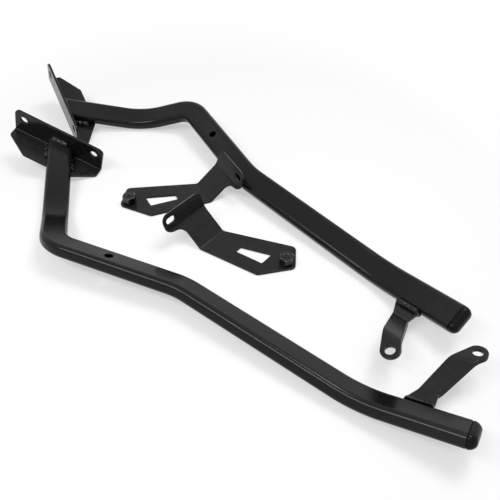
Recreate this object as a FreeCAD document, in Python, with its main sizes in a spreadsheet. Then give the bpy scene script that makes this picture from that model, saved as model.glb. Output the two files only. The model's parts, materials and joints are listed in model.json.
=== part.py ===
"""Top case rack kit: two handed tube arms and two handed stay brackets, lying as laid out on a floor.

Millimetres, +Z up.  Each arm is worked out in an arm frame: origin at the bend between its second and
third legs, +X along the third leg towards the capped end, +Y to the inner side and +Z out of the wide
face of the tube.  The hand is +1 for the left arm and bracket and -1 for their mirror images.
"""
import FreeCAD, Part
import math
import os
import Sketcher

Vector = FreeCAD.Vector
Placement = FreeCAD.Placement
Rotation = FreeCAD.Rotation

SIZES = (
    # Arm tube
    ("tube_width", 28.5),
    ("tube_height", 14.5),
    ("tube_corner", 4.0),
    ("tube_wall", 1.5),
    ("leg_plate", 102.5),
    ("leg_elbow", 71.0),
    ("leg_cross", 147.0),
    ("leg_long", 200.0),
    ("leg_tail", 91.5),
    ("turn_elbow", 57.5),
    ("turn_cross", 13.5),
    ("drop_cross", 6.0),
    ("rise_plate", 31.4),
    ("rise_tail", 18.0),
    ("bend_plate", 90.0),
    ("bend_elbow", 32.0),
    ("bend_cross", 90.0),
    ("bend_tail", 150.0),
    ("tube_hole", 9.0),
    ("tube_hole_setback", 82.0),
    # End cap
    ("cap_head", 8.5),
    ("cap_side_round", 6.0),
    ("cap_plan_round", 8.0),
    ("cap_plug", 16.0),
    ("cap_plug_wall", 1.8),
    ("cap_fit", 0.2),
    # Tail plate
    ("plate_sheet", 3.0),
    ("plate_bend", 1.5),
    ("plate_length", 116.0),
    ("plate_upright", 32.5),
    ("plate_skew", 27.0),
    ("plate_shift", 2.5),
    ("plate_corner", 7.0),
    ("plate_hole", 9.0),
    ("plate_hole_pitch", 92.5),
    ("plate_hole_height", 20.5),
    ("flange_depth", 31.5),
    ("flange_side", 12.0),
    ("flange_front", 58.0),
    ("flange_corner", 4.0),
    ("root_gap", 1.5),
    # Side lug
    ("lug_sheet", 4.0),
    ("lug_root", 26.0),
    ("lug_setback", 32.0),
    ("lug_heel", 4.0),
    ("lug_flat", 15.0),
    ("lug_ramp", 24.0),
    ("lug_root_angle", 25.0),
    ("lug_ramp_angle", 48.0),
    ("lug_pad_angle", 14.0),
    ("lug_reach", 52.0),
    ("lug_shift", 34.0),
    ("lug_end", 9.0),
    ("lug_hole", 9.5),
    ("lug_bend", 10.0),
    # Weld beads
    ("bead_plate", 5.0),
    ("bead_plate_length", 22.0),
    ("bead_side_length", 19.0),
    ("bead_lug", 4.0),
    ("bead_margin", 3.0),
    ("bead_bulge", 0.8),
    # Stay bracket
    ("stay_sheet", 3.0),
    ("stay_fold", 36.5),
    ("stay_fold_bend", 2.0),
    ("stay_riser", 33.0),
    ("stay_riser_angle", 37.0),
    ("stay_ear_angle", 68.0),
    ("stay_ear_bend", 12.0),
    ("stay_ear", 21.0),
    ("stay_ear_length", 57.0),
    ("stay_ear_corner", 8.0),
    ("stay_ear_tip", 9.0),
    ("stay_ear_taper", 12.0),
    ("stay_web_fillet", 10.0),
    ("stay_slot_length", 12.0),
    ("stay_slot_width", 6.5),
    ("stay_slot_setback", 1.0),
    ("stay_corner", 6.0),
    ("stay_shoulder_out", 77.0),
    ("stay_shoulder_over", 34.0),
    ("stay_tip_out", 95.5),
    ("stay_tip_over", 10.0),
    ("stay_heel_out", 70.5),
    ("stay_heel_over", 23.5),
    ("window_corner", 1.5),
    ("window_near", 31.5),
    ("window_far", 64.0),
    ("window_near_top", 5.5),
    ("window_near_bottom", 14.0),
    ("window_far_top", -8.0),
    ("window_far_bottom", 8.5),
    # Weld nut
    ("nut_flats", 14.0),
    ("nut_height", 10.0),
    ("nut_bore", 6.8),
    ("nut_chamfer", 1.2),
    ("nut_out", 83.0),
    ("nut_over", 9.5),
    ("nut_seat", 8.4),
    # How the four members lie
    ("arm_roll", -24.5),
    ("arm_pitch", -3.4),
    ("right_arm_along", -41.0),
    ("right_arm_across", 174.0),
    ("right_arm_yaw", -12.5),
    ("left_stay_along", -23.0),
    ("left_stay_across", 100.5),
    ("left_stay_yaw", -7.0),
    ("right_stay_along", -96.5),
    ("right_stay_across", 147.5),
    ("right_stay_yaw", -116.3),
)

# Reach of the cutting tools past the solid that they trim
CLEAR = 20.0
# Points nearer than this are one point
TOUCH = 1e-6
NUT_SIDES = 6

doc = FreeCAD.newDocument("top_case_rack")
sheet = doc.addObject("Spreadsheet::Sheet", "Sizes")
for row, (alias, number) in enumerate(SIZES, start=1):
    sheet.set("A%d" % row, alias)
    sheet.set("B%d" % row, str(number))
    sheet.setAlias("B%d" % row, alias)
doc.recompute()


def size(alias):
    """Return the number that the sheet holds under an alias."""
    return float(sheet.get(alias))


def bind(item, prop, formula):
    """Bind a property to a formula whose words in braces are aliases of the sheet."""
    item.setExpression(prop, formula.replace("{", "Sizes.").replace("}", ""))


def axes(origin, x_axis, z_axis):
    """Return the placement of a frame with the given origin, X axis and Z axis."""
    y_axis = z_axis.cross(x_axis)
    return Placement(origin, Rotation(x_axis, y_axis, z_axis, "ZXY"))


def turned(vector, axis, degrees):
    """Return a vector turned about an axis."""
    return Rotation(axis, degrees).multVec(vector)


# Sketch helpers

def new_body(label):
    body = doc.addObject("PartDesign::Body", label)
    body.Label = label
    return body


def new_sketch(body, name, role, offset=None):
    """Add a sketch on one of the body's own origin planes, moved by an offset in that plane's axes."""
    sketch = body.newObject("Sketcher::SketchObject", name)
    plane = [item for item in body.Origin.OriginFeatures if item.Role == role][0]
    sketch.AttachmentSupport = [(plane, "")]
    sketch.MapMode = "FlatFace"
    if offset is not None:
        sketch.AttachmentOffset = offset
    return sketch


def draw_loop(sketch, corners):
    """Draw a closed outline of straight runs, each corner (x, y, radius) rounded by its own arc."""
    runs = []
    count = len(corners)
    for index, (x, y, radius) in enumerate(corners):
        here = Vector(x, y, 0)
        before = Vector(*corners[index - 1][:2], 0) - here
        after = Vector(*corners[(index + 1) % count][:2], 0) - here
        if radius <= 0:
            runs.append((here, None, here))
            continue
        half = before.getAngle(after) / 2
        reach = radius / math.tan(half)
        before.normalize()
        after.normalize()
        middle = (before + after).normalize()
        centre = here + middle * (radius / math.sin(half))
        runs.append((here + before * reach, centre - middle * radius, here + after * reach))
    for index, (enter, apex, leave) in enumerate(runs):
        if apex is not None:
            sketch.addGeometry(Part.Arc(enter, apex, leave), False)
        start = runs[(index + 1) % count][0]
        if not leave.isEqual(start, TOUCH):
            sketch.addGeometry(Part.LineSegment(leave, start), False)


def draw_corner_waste(sketch, x, y, radius, sense_x, sense_y):
    """Draw what is cut off to round a square outer corner at (x, y), which points along the senses."""
    draw_loop(sketch, [
        (x - sense_x * radius, y, 0.0),
        (x, y, radius),
        (x, y - sense_y * radius, 0.0),
        (x + sense_x * CLEAR, y - sense_y * radius, 0.0),
        (x + sense_x * CLEAR, y + sense_y * CLEAR, 0.0),
        (x - sense_x * radius, y + sense_y * CLEAR, 0.0),
    ])


def flip_x(corners, hand):
    """Return an outline's corners with their x on the hand's side."""
    return [(hand * x, y, radius) for x, y, radius in corners]


def flip_y(corners, hand):
    """Return an outline's corners with their y on the hand's side."""
    return [(x, hand * y, radius) for x, y, radius in corners]


def draw_circle(sketch, x, y, alias):
    """Draw a circle whose diameter is bound to the sheet."""
    circle = Part.Circle(Vector(x, y, 0), Vector(0, 0, 1), size(alias) / 2)
    edge = sketch.addGeometry(circle, False)
    rule = sketch.addConstraint(Sketcher.Constraint("Diameter", edge, size(alias)))
    bind(sketch, "Constraints[%d]" % rule, "{%s}" % alias)


def draw_slot(sketch, x, y, length, width):
    """Draw an oblong slot along the sketch's x axis."""
    reach = (length - width) / 2
    radius = width / 2
    top = [Vector(x - reach, y + radius, 0), Vector(x + reach, y + radius, 0)]
    low = [Vector(x - reach, y - radius, 0), Vector(x + reach, y - radius, 0)]
    sketch.addGeometry(Part.LineSegment(top[0], top[1]), False)
    sketch.addGeometry(Part.Arc(top[1], Vector(x + reach + radius, y, 0), low[1]), False)
    sketch.addGeometry(Part.LineSegment(low[1], low[0]), False)
    sketch.addGeometry(Part.Arc(low[0], Vector(x - reach - radius, y, 0), top[0]), False)


def draw_section(sketch, inset, radius):
    """Draw the tube's rectangle, drawn in by an inset and rounded, centred on the sketch's origin."""
    half_width = size("tube_width") / 2 - inset
    half_height = size("tube_height") / 2 - inset
    draw_loop(sketch, [
        (half_width, half_height, radius),
        (-half_width, half_height, radius),
        (-half_width, -half_height, radius),
        (half_width, -half_height, radius),
    ])


def draw_tube_wall(sketch):
    """Draw the tube's wall, round outside and square inside."""
    draw_section(sketch, 0.0, size("tube_corner"))
    draw_section(sketch, size("tube_wall"), 0.0)


def pad(body, sketch, formula, reverse=False):
    feature = body.newObject("PartDesign::Pad", "Pad")
    feature.Profile = sketch
    bind(feature, "Length", formula)
    feature.Reversed = reverse
    doc.recompute()
    return feature


def pocket_through(body, sketch, reverse=False, both=True):
    """Cut a sketch right through the body, on both sides of its plane unless told otherwise."""
    volume = body.Shape.Volume
    feature = body.newObject("PartDesign::Pocket", "Pocket")
    feature.Profile = sketch
    feature.Type = "ThroughAll"
    feature.Midplane = both
    feature.Reversed = reverse
    doc.recompute()
    if not body.Shape.Volume < volume:
        raise RuntimeError("a cut in %s removed nothing" % body.Label)
    return feature


def sheet_section(line, thickness, radii):
    """Return the outline of a folded sheet from the line of one face, with the sheet on its right."""
    left = [Vector(y, z, 0) for y, z in line]
    right = []
    for index, point in enumerate(left):
        into = (point - left[index - 1]).normalize() if index else None
        out = (left[index + 1] - point).normalize() if index + 1 < len(left) else into
        into = into or out
        middle = (Vector(into.y, -into.x, 0) + Vector(out.y, -out.x, 0)).normalize()
        right.append(point + middle * (thickness / middle.dot(Vector(into.y, -into.x, 0))))
    corners = []
    turns = []
    for index, point in enumerate(left):
        inside = 0.0
        outside = 0.0
        if 0 < index < len(left) - 1:
            bend = (point - left[index - 1]).cross(left[index + 1] - point).z
            inner = radii[index - 1]
            inside, outside = (inner, inner + thickness) if bend > 0 else (inner + thickness, inner)
        corners.append((point.x, point.y, inside))
        turns.append((right[index].x, right[index].y, outside))
    return corners + turns[::-1]


# Shape of the bent arm

class ArmLine:
    """Vertices and local directions of one arm's centre line, in the arm frame."""

    def __init__(self, hand):
        self.hand = hand
        up = Vector(0, 0, 1)
        along = Vector(1, 0, 0)
        self.long_dir = along
        level = turned(along * -1, up, hand * size("turn_cross"))
        self.cross_dir = turned(level, up.cross(level), size("drop_cross"))
        # The wide face follows the bend, which turns and drops the leg in one plane
        self.cross_up = Rotation(along, self.cross_dir * -1).multVec(up)
        self.elbow_dir = turned(self.cross_dir, self.cross_up, -hand * size("turn_elbow"))
        # Side of the plate leg, square to it and level with the wide face
        self.plate_side = self.cross_up.cross(self.elbow_dir)
        self.plate_dir = turned(self.elbow_dir, self.plate_side, -size("rise_plate"))
        self.plate_up = self.plate_dir.cross(self.plate_side)
        plate_bend = self.cross_dir * size("leg_cross") + self.elbow_dir * size("leg_elbow")
        self.plate_end = plate_bend + self.plate_dir * size("leg_plate")
        self.tail_dir = turned(along, Vector(0, 1, 0), -size("rise_tail"))
        self.tail_up = self.tail_dir.cross(Vector(0, 1, 0))
        self.tail_end = along * size("leg_long") + self.tail_dir * size("leg_tail")

    def plate_frame(self):
        """Frame at the middle of the plate's fold: +Y out over the lower flange, +Z up the upright."""
        out = turned(self.plate_dir * -1, self.plate_up, -self.hand * size("plate_skew"))
        fold = out.cross(self.plate_up)
        under = self.plate_up * (-size("tube_height") / 2)
        origin = self.plate_end + under + fold * (self.hand * size("plate_shift"))
        return axes(origin, fold, self.plate_up)

    def tail_frame(self):
        """Frame at the tube's capped end: +X out of the tube, the inner side on the hand's side of Y."""
        return axes(self.tail_end, self.tail_dir, self.tail_up)

    def hole_frame(self):
        """Frame of the cross hole in the second leg, +Z along its axis."""
        return axes(self.cross_dir * size("tube_hole_setback"), self.cross_dir, self.cross_up)


def tube_leg(body, frame, formula):
    """Add a straight run of tube that starts square at a frame and goes along its +Z."""
    section = new_sketch(body, "Leg", "XY_Plane", frame)
    draw_tube_wall(section)
    run = pad(body, section, formula)
    return frame.multiply(Placement(Vector(0, 0, run.Length.Value), Rotation()))


def tube_bend(body, frame, heading, radius, formula):
    """Add a bend that turns the tube from a frame's +Z to a new heading, and return the frame after it."""
    local = frame.Rotation.inverted().multVec(heading)
    forward = Vector(0, 0, 1)
    axis = forward.cross(local).normalize()
    centre = axis.cross(forward) * size(radius)
    section = new_sketch(body, "Bend", "XY_Plane", frame)
    draw_tube_wall(section)
    section.addGeometry(Part.LineSegment(centre, centre + axis * size("tube_width")), True)
    bend = body.newObject("PartDesign::Revolution", "Turn")
    bend.Profile = section
    bend.ReferenceAxis = (section, ["Axis0"])
    bind(bend, "Angle", formula)
    doc.recompute()
    turn = Rotation(axis, bend.Angle.Value)
    about = Placement(centre - turn.multVec(centre), turn)
    return frame.multiply(about)


def arm_tube(line, side):
    """Bent hollow tube, mitred against the plate's upright and drilled across its second leg."""
    body = new_body(side + "_bent_tube")
    # The first run starts past the plate so that the mitre trims a whole section
    start = line.plate_end + line.plate_dir * size("tube_width")
    frame = axes(start, line.plate_side, line.plate_dir * -1)
    plate_cut = "{bend_plate} * tan({rise_plate} / 2)"
    elbow_cut = "{bend_elbow} * tan({turn_elbow} / 2)"
    cross_turn = "acos(cos({turn_cross}) * cos({drop_cross}))"
    cross_cut = "{bend_cross} * tan(%s / 2)" % cross_turn
    tail_cut = "{bend_tail} * tan({rise_tail} / 2)"
    frame = tube_leg(body, frame, "{tube_width} + {leg_plate} - %s" % plate_cut)
    frame = tube_bend(body, frame, line.elbow_dir * -1, "bend_plate", "{rise_plate}")
    frame = tube_leg(body, frame, "{leg_elbow} - %s - %s" % (plate_cut, elbow_cut))
    frame = tube_bend(body, frame, line.cross_dir * -1, "bend_elbow", "{turn_elbow}")
    frame = tube_leg(body, frame, "{leg_cross} - %s - %s" % (elbow_cut, cross_cut))
    frame = tube_bend(body, frame, line.long_dir, "bend_cross", cross_turn)
    frame = tube_leg(body, frame, "{leg_long} - %s - %s" % (cross_cut, tail_cut))
    frame = tube_bend(body, frame, line.tail_dir, "bend_tail", "{rise_tail}")
    frame = tube_leg(body, frame, "{leg_tail} - %s" % tail_cut)
    if not frame.Base.isEqual(line.tail_end, TOUCH):
        raise RuntimeError("%s ends away from its line" % body.Label)
    mitre = doc.addObject("Part::Box", side + "_mitre_tool")
    bind(mitre, "Length", "2 * {plate_length}")
    bind(mitre, "Width", "2 * {plate_length}")
    bind(mitre, "Height", "2 * {plate_length}")
    reach = size("plate_length")
    corner = Vector(-reach, size("root_gap") - 2 * reach, -reach)
    mitre.Placement = line.plate_frame().multiply(Placement(corner, Rotation()))
    drill = doc.addObject("Part::Cylinder", side + "_drill_tool")
    bind(drill, "Radius", "{tube_hole} / 2")
    bind(drill, "Height", "2 * {tube_height}")
    drill.Placement = line.hole_frame().multiply(Placement(Vector(0, 0, -size("tube_height")), Rotation()))
    mitred = doc.addObject("Part::Cut", side + "_mitred_tube")
    mitred.Base = body
    mitred.Tool = mitre
    tube = doc.addObject("Part::Cut", side + "_arm_tube")
    tube.Base = mitred
    tube.Tool = drill
    return tube, Placement()


def end_cap(line, side):
    """Moulded cap: a pillow-shaped head over the tube's end and a hollow plug inside it."""
    body = new_body(side + "_end_cap")
    front = size("cap_head")
    head = new_sketch(body, "Head", "YZ_Plane")
    draw_section(head, 0.0, size("tube_corner"))
    pad(body, head, "{cap_head}")
    rounds = (("XY_Plane", "tube_width", "cap_plan_round"), ("XZ_Plane", "tube_height", "cap_side_round"))
    for plane, breadth, radius in rounds:
        outline = new_sketch(body, "Round", plane)
        for sense in (-1, 1):
            draw_corner_waste(outline, front, sense * size(breadth) / 2, size(radius), 1, sense)
        pocket_through(body, outline)
    plug = new_sketch(body, "Plug", "YZ_Plane")
    gap = size("tube_wall") + size("cap_fit")
    draw_section(plug, gap, size("cap_plug_wall"))
    draw_section(plug, gap + size("cap_plug_wall"), 0.0)
    pad(body, plug, "{cap_plug}", reverse=True)
    return body, line.tail_frame()


def tail_plate(line, side):
    """Folded angle: an upright with two bolt holes and a lower flange with clipped corners."""
    body = new_body(side + "_tail_plate")
    half = size("plate_length") / 2
    depth = size("flange_depth")
    height = size("plate_upright")
    profile = new_sketch(body, "Fold", "YZ_Plane")
    face = [(0.0, height), (0.0, 0.0), (depth, 0.0)]
    draw_loop(profile, sheet_section(face, size("plate_sheet"), [size("plate_bend")]))
    length = pad(body, profile, "{plate_length}")
    length.Midplane = True
    doc.recompute()
    upright = new_sketch(body, "UprightOutline", "XZ_Plane")
    for hand in (-1, 1):
        draw_corner_waste(upright, hand * half, height, size("plate_corner"), hand, 1)
        draw_circle(upright, hand * size("plate_hole_pitch") / 2, size("plate_hole_height"), "plate_hole")
    pocket_through(body, upright)
    flange = new_sketch(body, "FlangeOutline", "XY_Plane")
    soft = size("flange_corner")
    front = size("flange_front") / 2
    clipped = [
        (half, size("flange_side"), soft),
        (front, depth, soft),
        (front - CLEAR / 2, depth, 0.0),
        (front - CLEAR / 2, depth + CLEAR, 0.0),
        (half + CLEAR, depth + CLEAR, 0.0),
        (half + CLEAR, size("flange_side") - soft, 0.0),
        (half, size("flange_side") - soft, 0.0),
    ]
    for hand in (-1, 1):
        draw_loop(flange, flip_x(clipped, hand))
    pocket_through(body, flange)
    return body, line.plate_frame()


def fillet_bead(label, leg, length_formula, flip=False, slope=0.0, flat=None):
    """Weld bead along +X, with one leg up +Z, or down -Z if flipped, and one out along +Y at a slope.

    With a flat given, the upright leg follows the tube's round corner past that height.
    """
    body = new_body(label)
    section = new_sketch(body, "Bead", "YZ_Plane")
    reach = size(leg)
    sense = -1 if flip else 1
    root = Vector(0, 0, 0)
    foot = turned(Vector(reach, 0, 0), Vector(0, 0, 1), slope)
    head = Vector(0, sense * reach, 0)
    edge = head
    if flat is not None:
        radius = size("tube_corner")
        edge = Vector(0, sense * flat, 0)
        sweep = math.degrees(math.asin((reach - flat) / radius))
        hub = edge - Vector(radius, 0, 0)
        arm = edge - hub
        halfway = hub + turned(arm, Vector(0, 0, sense), sweep / 2)
        head = hub + turned(arm, Vector(0, 0, sense), sweep)
        section.addGeometry(Part.Arc(head, halfway, edge), False)
    crest = (head + foot) * 0.5
    crest = crest * (1 + size("bead_bulge") / crest.Length)
    section.addGeometry(Part.LineSegment(root, foot), False)
    section.addGeometry(Part.Arc(foot, crest, head), False)
    section.addGeometry(Part.LineSegment(edge, root), False)
    pad(body, section, length_formula)
    return body


def plate_welds(line, side):
    """Beads that hold the tube on the plate: one on its top face and one along each side."""
    frame = line.plate_frame()
    inverse = frame.inverse()
    axis = inverse.multVec(line.plate_end)
    run = inverse.Rotation.multVec(line.plate_dir) * -1
    top = fillet_bead(side + "_plate_top_weld", "bead_plate", "{bead_plate_length}")
    start = Vector(axis.x - size("bead_plate_length") / 2, 0, size("tube_height"))
    made = [(top, frame.multiply(Placement(start, Rotation())))]
    for name, sense in (("inner", line.hand), ("outer", -line.hand)):
        out = Vector(-run.y, run.x, 0) * sense
        foot = axis + out * (size("tube_width") / 2)
        near = min(foot.y, foot.y + out.y * size("bead_plate"))
        begin = (size("bead_margin") - near) / run.y
        origin = Vector(foot.x, foot.y, 0) + run * begin
        bead = fillet_bead("%s_plate_%s_weld" % (side, name), "bead_plate", "{bead_side_length}", sense < 0)
        up = Vector(0, 0, sense)
        made.append((bead, frame.multiply(axes(origin, run, up))))
    return made


def slope_rise(run, alias):
    """Return the rise over a run at an angle of the sheet."""
    return run * math.tan(math.radians(size(alias)))


def lug_half():
    """Return half the lug's height where its sloped root meets the tube's side."""
    return size("lug_sheet") / 2 / math.cos(math.radians(size("lug_root_angle")))


def lug_face(reach):
    """Line of the lug's upper face, as (distance from the tube's middle, height), out to a reach."""
    start = size("tube_width") / 2, lug_half()
    bend = start[0] + size("lug_flat"), start[1] + slope_rise(size("lug_flat"), "lug_root_angle")
    crest = bend[0] + size("lug_ramp"), bend[1] + slope_rise(size("lug_ramp"), "lug_ramp_angle")
    end = reach, crest[1] + slope_rise(reach - crest[0], "lug_pad_angle")
    return start, bend, crest, end


def side_lug(line, side):
    """Strip on the tube's inner side: sloped root, steep ramp and a pad with a round end and a hole."""
    body = new_body(side + "_side_lug")
    hand = line.hand
    thick = size("lug_sheet")
    wall = size("tube_width") / 2
    hole_y = wall + size("lug_reach")
    tip = hole_y + size("lug_end")
    face = list(lug_face(tip + CLEAR))
    # The blank starts inside the tube's wall and is trimmed to it with the outline
    face[0] = wall - CLEAR / 2, face[0][1] - slope_rise(CLEAR / 2, "lug_root_angle")
    bends = [size("lug_bend"), size("lug_bend")]
    far_edge = -size("lug_setback") - size("lug_root")
    near_edge = -size("lug_setback")
    hole_x = (far_edge + near_edge) / 2 + size("lug_shift")
    high = hole_x + size("lug_end") + CLEAR
    low = far_edge - CLEAR
    profile = new_sketch(body, "Profile", "YZ_Plane", Placement(Vector(0, 0, low), Rotation()))
    draw_loop(profile, flip_x(sheet_section(face, thick, bends), hand))
    pad(body, profile, "{lug_root} / 2 + {lug_shift} + {lug_end} + %g" % (2 * CLEAR))
    plan = new_sketch(body, "Plan", "XY_Plane")
    ring = [(low - CLEAR, wall - CLEAR), (high + CLEAR, wall - CLEAR),
            (high + CLEAR, tip + 2 * CLEAR), (low - CLEAR, tip + 2 * CLEAR)]
    draw_loop(plan, [(x, hand * y, 0.0) for x, y in ring])
    centre = Vector(hole_x, hole_y, 0)
    bend_y = face[1][0]
    touches = []
    heel = Vector(far_edge, wall + size("lug_heel"), 0)
    toe = Vector(near_edge, bend_y, 0)
    for corner, turn in ((heel, 1), (toe, -1)):
        gap = corner - centre
        lean = math.degrees(math.acos(size("lug_end") / gap.Length))
        touches.append(centre + turned(gap.normalize() * size("lug_end"), Vector(0, 0, -turn), lean))
    left_touch, right_touch = touches
    crown = centre + (centre - (heel + toe) * 0.5).normalize() * size("lug_end")
    run = [left_touch, heel, Vector(far_edge, wall, 0), Vector(near_edge, wall, 0), toe, right_touch]
    run = [Vector(point.x, hand * point.y, 0) for point in run]
    for first, second in zip(run[:-1], run[1:]):
        plan.addGeometry(Part.LineSegment(first, second), False)
    plan.addGeometry(Part.Arc(run[-1], Vector(crown.x, hand * crown.y, 0), run[0]), False)
    pocket_through(body, plan)
    seat = Vector(hole_x, hand * hole_y, lug_face(hole_y)[-1][1])
    pad_plane = Placement(seat, Rotation(Vector(1, 0, 0), hand * size("lug_pad_angle")))
    hole = new_sketch(body, "Hole", "XY_Plane", pad_plane)
    draw_circle(hole, 0.0, 0.0, "lug_hole")
    pocket_through(body, hole)
    return body, line.tail_frame()


def lug_welds(line, side):
    """Beads above and below the lug's root."""
    frame = line.tail_frame()
    start = size("lug_setback") + (size("lug_root") if line.hand > 0 else 0.0)
    inward = Rotation() if line.hand > 0 else Rotation(Vector(0, 0, 1), 180)
    slope = size("lug_root_angle")
    # What is left of the tube's flat side above and below the lug
    flat = size("tube_height") / 2 - size("tube_corner") - lug_half()
    made = []
    for name, sense in (("", 1), ("under_", -1)):
        label = "%s_lug_%sweld" % (side, name)
        bead = fillet_bead(label, "bead_lug", "{lug_root}", sense < 0, slope, flat)
        root = Vector(-start, line.hand * size("tube_width") / 2, sense * lug_half())
        made.append((bead, frame.multiply(Placement(root, inward))))
    return made


def stay_bracket(hand, side):
    """Folded stay: kite plate with a window, riser, and an ear with a slot past the riser's side."""
    body = new_body(side + "_stay_bracket")
    thick = size("stay_sheet")
    riser = math.radians(size("stay_riser_angle"))
    lean = math.radians(size("stay_ear_angle"))
    fold = (0.0, thick)
    bend = (-size("stay_riser") * math.cos(riser), thick + size("stay_riser") * math.sin(riser))
    ear_top = (bend[0] - size("stay_ear") * math.cos(lean), bend[1] + size("stay_ear") * math.sin(lean))
    out = size("stay_tip_out") + CLEAR
    face = [ear_top, bend, fold, (out, thick)]
    profile = new_sketch(body, "Profile", "XZ_Plane")
    draw_loop(profile, sheet_section(face, thick, [size("stay_ear_bend"), size("stay_fold_bend")]))
    over = size("stay_shoulder_over") + CLEAR
    reach = size("stay_ear_length") + CLEAR
    high = reach if hand > 0 else over
    profile.AttachmentOffset = Placement(Vector(0, 0, -high), Rotation())
    pad(body, profile, "{stay_shoulder_over} + {stay_ear_length} + %g" % (2 * CLEAR))
    # The plate's outline is cut from the top, to just behind the fold, where the ear's outline takes over
    middle = math.radians((size("stay_riser_angle") + size("stay_ear_angle")) / 2)
    behind = 2 * thick * math.tan(middle)
    plate = new_sketch(body, "PlateOutline", "XY_Plane")
    soft = size("stay_corner")
    wide = size("stay_fold")
    draw_loop(plate, flip_y([
        (-behind, 0.0, 0.0),
        (0.0, 0.0, 0.0),
        (size("stay_shoulder_out"), -size("stay_shoulder_over"), soft),
        (size("stay_tip_out"), -size("stay_tip_over"), soft),
        (size("stay_heel_out"), size("stay_heel_over"), soft),
        (0.0, wide, 0.0),
        (-behind, wide, 0.0),
        (-behind, reach + CLEAR, 0.0),
        (out + CLEAR, reach + CLEAR, 0.0),
        (out + CLEAR, -over - CLEAR, 0.0),
        (-behind, -over - CLEAR, 0.0),
    ], hand))
    nick = size("window_corner")
    draw_loop(plate, flip_y([
        (size("window_near"), size("window_near_top"), nick),
        (size("window_far"), size("window_far_top"), nick),
        (size("window_far"), size("window_far_bottom"), nick),
        (size("window_near"), size("window_near_bottom"), nick),
    ], hand))
    draw_circle(plate, size("nut_out"), -hand * size("nut_over"), "nut_seat")
    pocket_through(body, plate)
    # The ear's outline is cut square to a plane midway between the riser and the ear
    along = Vector(0, 1, 0)
    upward = Vector(-math.cos(middle), 0, math.sin(middle))
    plane = axes(Vector(fold[0], 0, fold[1]), along, along.cross(upward))
    ear = new_sketch(body, "EarOutline", "XY_Plane", plane)

    def level(point):
        return upward.dot(Vector(point[0], 0, point[1]) - Vector(fold[0], 0, fold[1]))

    top_level = level(ear_top)
    nose = size("stay_ear_tip")
    tip = size("stay_ear_length")
    taper = math.radians(size("stay_ear_taper"))
    # Where the ear's end line and its lower edge would meet if the nose were not round
    nose_low = top_level - nose - nose / math.tan((math.pi / 2 - taper) / 2)
    web_level = nose_low - (tip - wide) * math.tan(taper)
    draw_loop(ear, flip_x([
        (0.0, 0.0, 0.0),
        (0.0, top_level, size("stay_ear_corner")),
        (tip, top_level, nose),
        (tip, nose_low, nose),
        (wide, web_level, size("stay_web_fillet")),
        (wide, 0.0, 0.0),
        (reach + CLEAR, 0.0, 0.0),
        (reach + CLEAR, top_level + CLEAR, 0.0),
        (-over - CLEAR, top_level + CLEAR, 0.0),
        (-over - CLEAR, 0.0, 0.0),
    ], hand))
    pocket_through(body, ear)
    # The slot is cut square to the ear, as far below its top edge as the nose is round
    climb = Vector(-math.cos(lean), 0, math.sin(lean))
    ear_plane = axes(Vector(ear_top[0], 0, ear_top[1]), along, along.cross(climb))
    slot = new_sketch(body, "Slot", "XY_Plane", ear_plane)
    slot_y = tip - nose - size("stay_slot_setback")
    draw_slot(slot, hand * slot_y, -nose, size("stay_slot_length"), size("stay_slot_width"))
    pocket_through(body, slot)
    return body, Placement()


def weld_nut(hand, side):
    """Tall hexagon nut that stands on the bracket's outer end."""
    body = new_body(side + "_weld_nut")
    flat = size("nut_flats") / 2
    spread = math.pi / NUT_SIDES
    corner = flat / math.cos(spread)
    outline = new_sketch(body, "Hexagon", "XY_Plane")
    turns = [2 * spread * step for step in range(NUT_SIDES)]
    draw_loop(outline, [(corner * math.cos(turn), corner * math.sin(turn), 0.0) for turn in turns])
    draw_circle(outline, 0.0, 0.0, "nut_bore")
    pad(body, outline, "{nut_height}")
    bevel = new_sketch(body, "Bevel", "XZ_Plane")
    top = size("nut_height")
    drop = size("nut_chamfer")
    past = corner - flat
    draw_loop(bevel, [
        (flat - past, top + drop, 0.0),
        (corner + past, top + drop, 0.0),
        (corner + past, top - 2 * drop, 0.0),
    ])
    groove = body.newObject("PartDesign::Groove", "Groove")
    groove.Profile = bevel
    groove.ReferenceAxis = (bevel, ["V_Axis"])
    groove.Angle = 360
    doc.recompute()
    seat = Vector(size("nut_out"), -hand * size("nut_over"), size("stay_sheet"))
    return body, Placement(seat, Rotation())


# The members of the kit and how they lie

def build_arm(side, hand):
    line = ArmLine(hand)
    made = [arm_tube(line, side), end_cap(line, side), tail_plate(line, side), side_lug(line, side)]
    return made + plate_welds(line, side) + lug_welds(line, side)


def build_stay(side, hand):
    return [stay_bracket(hand, side), weld_nut(hand, side)]


def lay_down(members, lie):
    """Turn a member as it lies and drop it until its lowest point is on the floor."""
    for item, local in members:
        item.Placement = lie.multiply(local)
    doc.recompute()
    drop = min(item.Shape.optimalBoundingBox(False).ZMin for item, local in members)
    for item, local in members:
        item.Placement.Base.z -= drop
    doc.recompute()


def arm_lie(hand, x, y, yaw):
    roll = Rotation(Vector(1, 0, 0), hand * size("arm_roll"))
    pitch = Rotation(Vector(0, 1, 0), -size("arm_pitch"))
    return Placement(Vector(x, y, 0), Rotation(Vector(0, 0, 1), yaw).multiply(roll).multiply(pitch))


def stay_lie(side):
    where = Vector(size(side + "_stay_along"), size(side + "_stay_across"), 0)
    return Placement(where, Rotation(Vector(0, 0, 1), size(side + "_stay_yaw")))


left_arm = build_arm("left", 1)
lay_down(left_arm, arm_lie(1, 0.0, 0.0, 0.0))
right_arm = build_arm("right", -1)
lay_down(right_arm, arm_lie(-1, size("right_arm_along"), size("right_arm_across"), size("right_arm_yaw")))
left_stay = build_stay("left", -1)
lay_down(left_stay, stay_lie("left"))
right_stay = build_stay("right", 1)
lay_down(right_stay, stay_lie("right"))
pieces = [item for item, local in left_arm + right_arm + left_stay + right_stay]

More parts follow.
